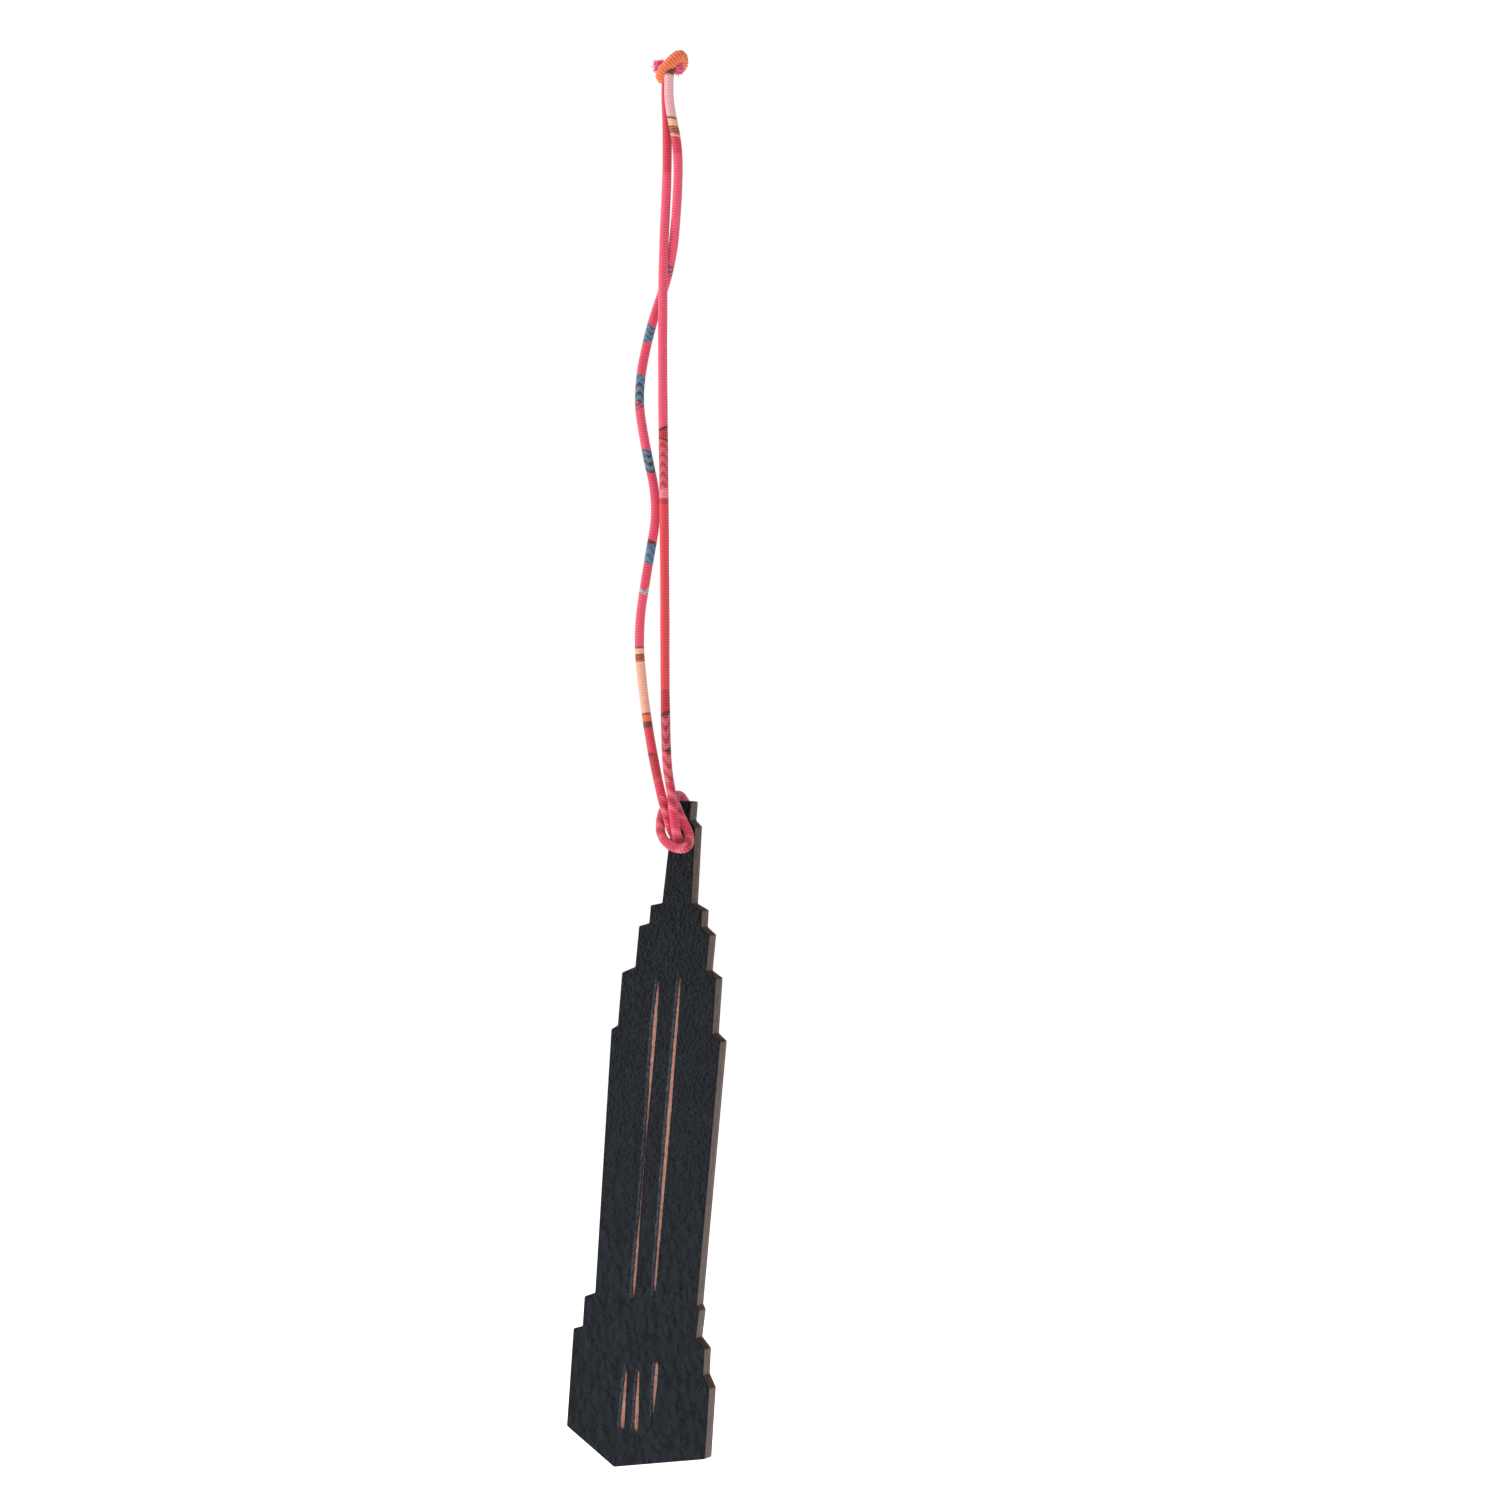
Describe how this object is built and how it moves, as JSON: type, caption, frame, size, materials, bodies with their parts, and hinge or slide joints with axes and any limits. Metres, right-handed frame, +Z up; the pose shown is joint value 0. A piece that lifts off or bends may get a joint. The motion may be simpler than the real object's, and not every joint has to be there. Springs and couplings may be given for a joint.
{
  "type": "hanging leather tower charm",
  "caption": "Flat leather charm cut as a stepped tower, hung by a looped, printed fabric cord that is hitched through its mast and knotted at the top.",
  "frame": {"origin": "the point inside the cord's loop, just under the top knot, where a hook or a branch carries it", "axes": "+Z up, along the hanging cord; +Y through the thickness of the charm, from its slitted side to its plain side; +X to the right of the slitted side as the viewer sees it"},
  "size_m": [0.0328, 0.012, 0.2774],
  "materials": {
    "grained_leather": "pebbled grain, satin",
    "core_leather": "matte, flesh side",
    "backing_leather": "fine grain, satin",
    "printed_cord": "fine twill, printed",
    "knot_cord": "fine twill",
    "frayed_fibre": "frayed threads"
  },
  "bodies": {
    "knot": {"top_knot": "knot_cord", "frayed_end_left": "frayed_fibre", "frayed_end_right": "frayed_fibre"},
    "loop": {"cord_left_strand": "printed_cord", "cord_right_strand": "printed_cord"},
    "charm": {"slitted_panel": "grained_leather", "core_layer": "core_leather", "plain_panel": "backing_leather", "cord_hitch": "printed_cord"}
  },
  "joints": [
    {"name": "loop_swing", "type": "hinge", "parent": "knot", "child": "loop", "pos_m": [0, 0, 0], "axis": [0, 1, 0], "range_deg": [-40, 40]},
    {"name": "charm_twist", "type": "hinge", "parent": "loop", "child": "charm", "pos_m": [0, 0, -0.137], "axis": [0, 0, 1], "range_deg": [-180, 180], "deforming": ["cord_left_strand", "cord_right_strand"]}
  ]
}
